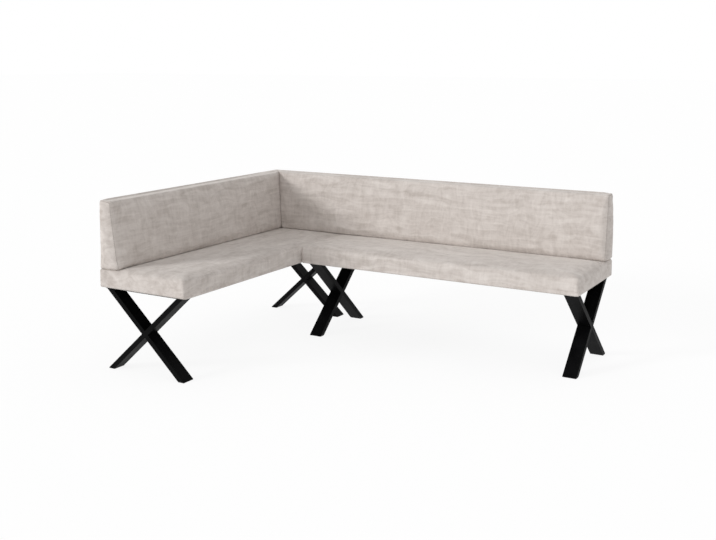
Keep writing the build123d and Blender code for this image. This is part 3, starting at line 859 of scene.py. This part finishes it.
class DustCloth:
    """The cloth stapled under one seat, sagging a little between the leg plates."""

    def __init__(self, side):
        low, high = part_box(side + "_seat_cover")
        inset = TURNED_IN - HEM_OVERLAP
        self.side = side
        self.x0, self.x1 = low.x + inset, high.x - inset
        self.y0, self.y1 = low.y + inset, high.y - inset
        self.base = low.z - SHEET_GAP
        self.plates = [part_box(side + leg + "_leg_top_plate") for leg in ("_corner", "_outer")]

    def level(self, x, y):
        """Height of the cloth at a place."""
        edge = min(x - self.x0, self.x1 - x, y - self.y0, self.y1 - y)
        free = edge
        for low, high in self.plates:
            off_x = max(low.x - x, x - high.x, 0)
            off_y = max(low.y - y, y - high.y, 0)
            free = min(free, math.hypot(off_x, off_y))
        sag = SHEET_SAG * (1 - math.exp(-free / SAG_REACH))
        wave = noise.noise(Vector((x * RIPPLE_WAVES, y * RIPPLE_WAVES, 0)))
        ripple = RIPPLE * wave * min(1, free / RIPPLE_REACH)
        pull = math.cos(2 * math.pi * (x + y) / STAPLE_STEP)
        pucker = PUCKER * pull * math.exp(-edge / PUCKER_REACH)
        hem = HEM_THICK if edge < HEM_WIDTH else 0.0
        return self.base - sag + ripple + pucker - hem

    def fill_sheet(self, bm):
        """A grid of faces over the whole cloth."""
        columns = max(2, round((self.x1 - self.x0) / SHEET_STEP))
        rows = max(2, round((self.y1 - self.y0) / SHEET_STEP))
        grid = []
        for row in range(rows + 1):
            y = self.y0 + (self.y1 - self.y0) * row / rows
            line = []
            for column in range(columns + 1):
                x = self.x0 + (self.x1 - self.x0) * column / columns
                line.append(bm.verts.new((x, y, self.level(x, y))))
            grid.append(line)
        for line, following in zip(grid, grid[1:]):
            for column in range(columns):
                bm.faces.new((line[column], following[column], following[column + 1], line[column + 1]))

    def fill_staples(self, bm):
        """Staples along the middle of the hem."""
        inward = HEM_WIDTH / 2
        places = []
        for x in np.arange(self.x0 + STAPLE_STEP / 2, self.x1, STAPLE_STEP):
            places += [(x, self.y0 + inward, 1, 0), (x, self.y1 - inward, 1, 0)]
        for y in np.arange(self.y0 + STAPLE_STEP / 2, self.y1, STAPLE_STEP):
            places += [(self.x0 + inward, y, 0, 1), (self.x1 - inward, y, 0, 1)]
        half = STAPLE_WIDTH / 2
        bend = half - STAPLE_WIRE
        shape = ((-half, STAPLE_LEG), (-half, 0), (-bend, -STAPLE_WIRE),
                 (bend, -STAPLE_WIRE), (half, 0), (half, STAPLE_LEG))
        for x, y, along_x, along_y in places:
            z = self.level(x, y) - CLOTH_THICK
            tube(bm, [(x + along_x * run, y + along_y * run, z + rise) for run, rise in shape], STAPLE_WIRE)

    def make_sheet(self, material):
        """The cloth itself, as a stretched sheet on the rails."""
        piece = object_from(self.fill_sheet, self.side + "_dust_cloth")
        thick = piece.modifiers.new("cloth", "SOLIDIFY")
        thick.thickness = CLOTH_THICK
        thick.offset = 0.0
        smooth(piece)
        dress(piece, material)
        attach(piece, "root")
        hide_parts(self.side + "_dust_cover")

    def make_staples(self, material):
        """The staples, as one piece."""
        pins = object_from(self.fill_staples, self.side + "_staples")
        dress(pins, material)
        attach(pins, "root")


# Carried-over CAD nodes

woods = {}


def wood_for(kind, colours, axis):
    """One wood material for each kind and grain direction."""
    key = kind + "_" + "xyz"[axis]
    if key not in woods:
        woods[key] = timber(key, colours, axis)
    return woods[key]


def dress_nodes(coat, zinc, wire, plastic, cloth):
    """Gives every CAD node but the replaced cushions its material."""
    for node in NODES:
        low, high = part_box(node)
        size = high - low
        axis = 0 if size.x > size.y else 1
        if "_leg_" in node and ("bar" in node or "plate" in node):
            dress_node(node, coat)
        elif node == "leg_glides":
            dress_node(node, plastic)
        elif node in ("seat_springs", "spring_clips"):
            dress_node(node, wire)
        elif node in ("plate_screws", "connector_plates", "back_bolts", "tee_nuts"):
            dress_node(node, zinc)
        elif node.endswith("dust_cover"):
            dress_node(node, cloth)
        elif "panel" in node:
            dress_node(node, wood_for("hardboard", HARDBOARD, axis))
        elif "board" in node:
            dress_node(node, wood_for("plywood", PLYWOOD, axis))
        elif not node.endswith(("_cover", "_pad")):
            dress_node(node, wood_for("pine", PINE, axis))


# Stage, light and camera

def stage_floor():
    """White floor that keeps a light shadow of the bench."""
    def fill(bm):
        corners = ((-1, -1), (1, -1), (1, 1), (-1, 1))
        bm.faces.new([bm.verts.new((FLOOR_REACH * x, FLOOR_REACH * y, 0)) for x, y in corners])

    floor = object_from(fill, "floor")
    make = Nodes(bpy.data.materials.new("floor"))
    make.set(Roughness=0.9, Specular_IOR_Level=0.0, Base_Color=FLOOR_COLOUR)
    white = make.add("ShaderNodeEmission")
    white.inputs["Color"].default_value = WHITE
    white.inputs["Strength"].default_value = FLOOR_WHITE_STRENGTH
    share = make.math("MULTIPLY", make.seen_directly(), FLOOR_WHITE)
    surface = make.tree.nodes["Material Output"].inputs["Surface"]
    make.mix_shaders(share, make.shader.outputs["BSDF"], white.outputs["Emission"], surface)
    dress(floor, make.owner)


def white_world():
    """White surroundings that light more from the sides than from overhead."""
    world = bpy.data.worlds.new("world")
    bpy.context.scene.world = world
    make = Nodes(world)
    soft = make.tree.nodes["Background"]
    soft.inputs["Color"].default_value = WHITE
    place = make.add("ShaderNodeTexCoord")
    split = make.add("ShaderNodeSeparateXYZ")
    make.link(place.outputs["Generated"], split.inputs["Vector"])
    make.link(make.span(split.outputs["Z"], 0.0, 1.0, SKY_LOW, SKY_HIGH), soft.inputs["Strength"])
    white = make.add("ShaderNodeBackground")
    white.inputs["Color"].default_value = WHITE
    surface = make.tree.nodes["World Output"].inputs["Surface"]
    make.mix_shaders(make.seen_directly(), soft.outputs["Background"], white.outputs["Background"], surface)


def key_light():
    """Even light along one direction, with soft shadow edges."""
    data = bpy.data.lights.new("key", "SUN")
    data.energy = KEY
    data.angle = math.radians(KEY_SOFTNESS)
    lamp = bpy.data.objects.new("key", data)
    lamp.rotation_euler = Vector(KEY_TRAVEL).to_track_quat("-Z", "Y").to_euler()
    bpy.context.scene.collection.objects.link(lamp)


def photo_camera():
    """The photograph's viewpoint."""
    data = bpy.data.cameras.new("camera")
    data.sensor_width = SENSOR_WIDTH
    data.lens = FOCAL_PIXELS / IMAGE_WIDTH * SENSOR_WIDTH
    data.shift_x = (IMAGE_WIDTH / 2 - AXIS_PIXEL[0]) / IMAGE_WIDTH
    data.shift_y = (AXIS_PIXEL[1] - IMAGE_HEIGHT / 2) / IMAGE_WIDTH
    camera = bpy.data.objects.new("camera", data)
    camera.location = CAMERA_PLACE
    camera.rotation_euler = (math.radians(90 - CAMERA_TILT), 0, math.radians(CAMERA_TURN))
    bpy.context.scene.collection.objects.link(camera)
    bpy.context.scene.camera = camera


# The scene

bpy.context.scene.view_settings.view_transform = "Standard"

thread = seam_thread()
velvet_x = velvet("velvet_long", along_x=True)
velvet_y = velvet("velvet_short", along_x=False)
seat_cushion("long", velvet_x)
seat_cushion("short", velvet_y)
end_seam(back_cushion("long", velvet_x), "long", thread)
end_seam(back_cushion("short", velvet_y), "short", thread)

coat = powder_coat()
zinc = bare_metal("zinc_plate", ZINC, rough=0.32)
wire = bare_metal("drawn_wire", WIRE, rough=0.28)
plastic = black_plastic()
cloth = spun_cloth()
for side in ("long", "short"):
    dust_cloth = DustCloth(side)
    dust_cloth.make_sheet(cloth)
    dust_cloth.make_staples(zinc)
dress_nodes(coat, zinc, wire, plastic, cloth)

stage_floor()
white_world()
key_light()
photo_camera()
